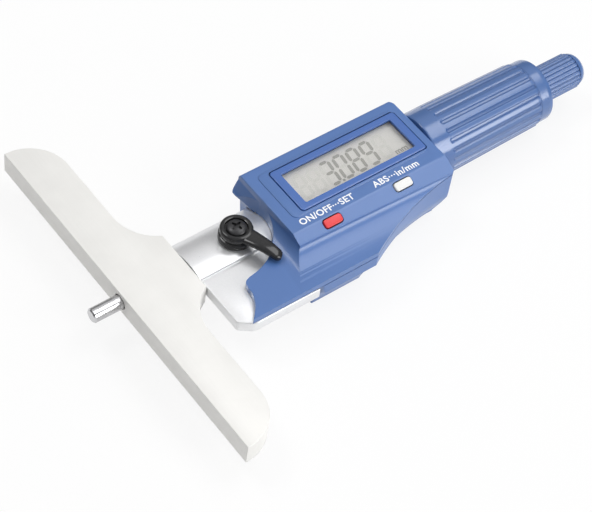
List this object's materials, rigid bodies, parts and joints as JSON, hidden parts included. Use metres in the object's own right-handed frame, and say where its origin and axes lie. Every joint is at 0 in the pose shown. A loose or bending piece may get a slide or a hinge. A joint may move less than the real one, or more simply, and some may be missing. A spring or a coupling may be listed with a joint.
{
  "type": "digital depth micrometer",
  "caption": "Digital depth micrometer: a flat steel measuring base, a blue display housing with a lock lever and two buttons, and a grooved thimble with a ratchet knob.",
  "frame": {"origin": "middle of the length and width, at the level of the rear cover's flat back, on which it lies", "axes": "+X along the measuring rod towards the ratchet knob, +Y along the measuring base, +Z out of the display"},
  "size_m": [0.1534, 0.1014, 0.0189],
  "materials": {
    "ground_steel": "ground",
    "polished_steel": "polished",
    "cast_silver": "satin silver",
    "blue_plastic": "fine matte",
    "bezel_blue": "semi gloss",
    "clear_window": "clear",
    "display_grey": "grey display",
    "circuit_green": "solder mask",
    "black_rubber": "matte",
    "black_lacquer": "gloss black",
    "red_button": "satin",
    "pale_button": "satin",
    "brass": "turned"
  },
  "bodies": {
    "frame": {"measuring_base": "ground_steel", "base_dowel_upper": "ground_steel", "base_dowel_lower": "ground_steel", "frame_body": "cast_silver", "front_cover": "blue_plastic", "rear_cover": "blue_plastic", "cover_screw_upper_left": "ground_steel", "cover_screw_upper_right": "ground_steel", "cover_screw_lower_left": "ground_steel", "cover_screw_lower_right": "ground_steel", "display_bezel": "bezel_blue", "display_window": "clear_window", "display_glass": "display_grey", "connector_strip_upper": "black_rubber", "connector_strip_lower": "black_rubber", "circuit_board": "circuit_green", "board_screw_upper": "ground_steel", "board_screw_lower": "ground_steel", "power_dome": "ground_steel", "mode_dome": "ground_steel", "battery": "ground_steel", "battery_contact_leaf": "brass", "battery_contact_clip": "brass", "barrel": "ground_steel", "spindle_nut": "brass", "wear_adjuster": "ground_steel", "encoder_stator": "circuit_green", "lock_pad": "brass"},
    "encoder": {"encoder_rotor": "circuit_green", "rotor_key": "brass"},
    "spindle": {"spindle_screw": "ground_steel", "thimble": "blue_plastic", "measuring_rod": "polished_steel", "rod_seat_nut": "brass", "rod_lock_nut": "brass", "rod_cap": "blue_plastic", "ratchet_disc": "ground_steel", "ratchet_spring": "ground_steel", "ratchet_screw": "ground_steel"},
    "ratchet": {"ratchet_knob": "blue_plastic", "knob_end_cap": "blue_plastic"},
    "lock": {"lock_lever": "black_lacquer", "lock_screw": "black_lacquer", "lock_washer": "ground_steel"},
    "battery_cover": {"battery_cap": "blue_plastic", "battery_cap_seal": "black_rubber"},
    "power": {"power_button": "red_button"},
    "mode": {"mode_button": "pale_button"}
  },
  "joints": [
    {"name": "spindle_turn", "type": "hinge", "parent": "frame", "child": "encoder", "pos_m": [0.00135, 0, 0.0095], "axis": [1, 0, 0], "range_deg": [-367, 18007]},
    {"name": "spindle_feed", "type": "slide", "parent": "encoder", "child": "spindle", "axis": [1, 0, 0], "range_m": [-0.0005, 0.025]},
    {"name": "ratchet_turn", "type": "hinge", "parent": "spindle", "child": "ratchet", "pos_m": [0.06735, 0, 0.0095], "axis": [1, 0, 0], "continuous": true},
    {"name": "lock_swing", "type": "hinge", "parent": "frame", "child": "lock", "pos_m": [-0.03615, -0.0008, 0.0155], "axis": [0, 0, 1], "range_deg": [-60, 0]},
    {"name": "battery_cap_turn", "type": "hinge", "parent": "frame", "child": "battery_cover", "pos_m": [-0.01585, -0.0105, 0.0008], "axis": [0, 0, -1], "range_deg": [0, 60]},
    {"name": "power_press", "type": "slide", "parent": "frame", "child": "power", "axis": [0, 0.4229, -0.9062], "range_m": [0, 0.0004], "stiffness_N_per_m": 300, "springref_m": -0.0004},
    {"name": "mode_press", "type": "slide", "parent": "frame", "child": "mode", "axis": [0, 0.4229, -0.9062], "range_m": [0, 0.0004], "stiffness_N_per_m": 300, "springref_m": -0.0004}
  ],
  "couplings": [
    {"joint": "spindle_turn", "follows": "spindle_feed", "rad_per_m": 12566}
  ]
}
